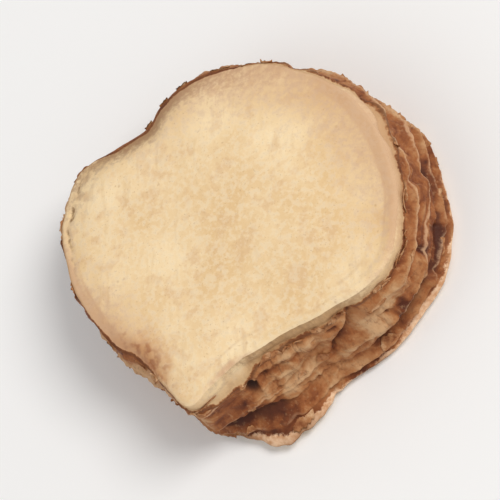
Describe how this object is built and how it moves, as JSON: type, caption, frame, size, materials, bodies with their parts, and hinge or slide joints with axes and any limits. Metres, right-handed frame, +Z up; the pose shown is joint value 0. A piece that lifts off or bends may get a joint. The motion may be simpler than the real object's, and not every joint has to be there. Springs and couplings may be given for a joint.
{
  "type": "dried white turmeric root slice",
  "caption": "Thick, nearly round slice of dried white turmeric rhizome with smooth cream cut faces and a wrinkled, ringed red-brown rind that flares towards the lower face.",
  "frame": {"origin": "on the resting plane, under the middle of the slice's box", "axes": "+Z up through the slice from its lower cut face to its upper one, +X along its longest way across"},
  "size_m": [0.0258, 0.0248, 0.0075],
  "materials": {
    "dried_root": "dry, matt, cream starchy flesh on the cut faces and dull red-brown wrinkled rind round the side"
  },
  "bodies": {
    "root": {"root_slice": "dried_root"}
  },
  "joints": []
}
